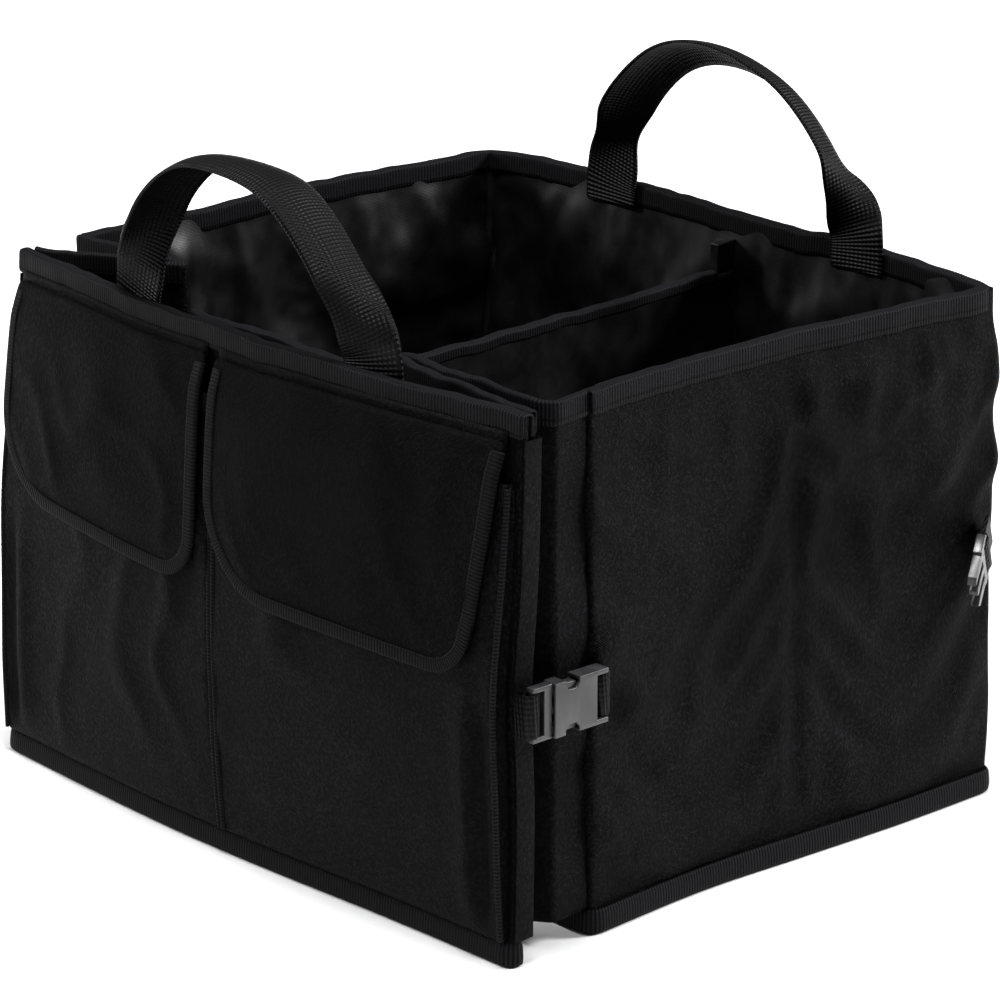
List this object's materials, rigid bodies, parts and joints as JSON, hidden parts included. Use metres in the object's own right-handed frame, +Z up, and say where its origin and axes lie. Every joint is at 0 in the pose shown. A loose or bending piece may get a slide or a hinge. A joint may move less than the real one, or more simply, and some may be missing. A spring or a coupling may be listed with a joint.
{
  "type": "car trunk organizer",
  "caption": "Folding cloth organizer for a car trunk, with stiff walls, an inner divider, a folded front compartment, flap pockets, webbing handles and side-release buckles.",
  "frame": {"origin": "centre of the main compartment's underside, on the surface that the organizer stands on", "axes": "+Z up, +X across the width to the side with the visible buckles, -Y to the end with the flap pockets"},
  "size_m": [0.4552, 0.3769, 0.3748],
  "materials": {
    "cloth": "matte black plain-weave polyester",
    "lining": "thin black cloth with a slight sheen",
    "tape": "ribbed black binding tape",
    "webbing": "ribbed black webbing",
    "board": "plain grey-brown stiffening board",
    "plastic": "satin black moulded plastic",
    "patch": "matte black hook-and-loop tape"
  },
  "bodies": {
    "organizer": {"base_cover": "lining", "base_board": "board", "right_side_cover": "cloth", "right_side_board_front": "board", "right_side_board_rear": "board", "left_side_cover": "cloth", "left_side_board_front": "board", "left_side_board_rear": "board", "rear_panel_cover": "cloth", "rear_panel_board": "board", "front_panel_cover": "cloth", "front_panel_board": "board", "front_divider_cover": "cloth", "front_divider_board": "board", "front_divider_binding": "tape", "middle_divider_cover": "lining", "middle_divider_board": "board", "middle_divider_binding": "tape", "middle_divider_tab": "lining", "gusset_right": "cloth", "gusset_left": "cloth", "rim_binding_main": "tape", "rim_binding_front": "tape", "rim_binding_gusset_right": "tape", "rim_binding_gusset_left": "tape", "base_hem": "tape", "front_hem": "tape", "front_edge_right": "cloth", "front_edge_left": "cloth", "front_floor": "lining", "pocket_left": "cloth", "pocket_tape_left": "tape", "loop_patch_left": "patch", "pocket_right": "cloth", "pocket_tape_right": "tape", "loop_patch_right": "patch", "handle_rear": "webbing", "handle_front": "webbing", "buckle_socket_right": "plastic", "buckle_socket_left": "plastic", "strap_socket_right": "webbing", "strap_socket_left": "webbing", "strap_plug_front_right": "webbing", "strap_plug_front_left": "webbing", "strap_plug_rear_right": "webbing", "strap_plug_rear_left": "webbing"},
    "left_flap": {"flap_left": "cloth", "flap_tape_left": "tape", "hook_patch_left": "patch"},
    "right_flap": {"flap_right": "cloth", "flap_tape_right": "tape", "hook_patch_right": "patch"},
    "front_right_plug": {"buckle_plug_front_right": "plastic"},
    "front_left_plug": {"buckle_plug_front_left": "plastic"},
    "rear_right_plug": {"buckle_plug_rear_right": "plastic"},
    "rear_left_plug": {"buckle_plug_rear_left": "plastic"}
  },
  "joints": [
    {"name": "flap_left_hinge", "type": "hinge", "parent": "organizer", "child": "left_flap", "pos_m": [-0.105, -0.2024, 0.266], "axis": [-1, 0, 0], "range_deg": [0, 120]},
    {"name": "flap_right_hinge", "type": "hinge", "parent": "organizer", "child": "right_flap", "pos_m": [0.0945, -0.2024, 0.266], "axis": [-1, 0, 0], "range_deg": [0, 120]},
    {"name": "front_right_plug_slide", "type": "slide", "parent": "organizer", "child": "front_right_plug", "axis": [0, -1, 0], "range_m": [0, 0.022], "deforming": ["strap_plug_front_right"]},
    {"name": "front_left_plug_slide", "type": "slide", "parent": "organizer", "child": "front_left_plug", "axis": [0, -1, 0], "range_m": [0, 0.022], "deforming": ["strap_plug_front_left"]},
    {"name": "rear_right_plug_swing", "type": "hinge", "parent": "organizer", "child": "rear_right_plug", "pos_m": [0.211, 0.126, 0.141], "axis": [0.2796, -0.4843, 0.829], "range_deg": [-20, 60]},
    {"name": "rear_left_plug_swing", "type": "hinge", "parent": "organizer", "child": "rear_left_plug", "pos_m": [-0.211, 0.126, 0.141], "axis": [0.2796, 0.4843, -0.829], "range_deg": [-20, 60]}
  ]
}
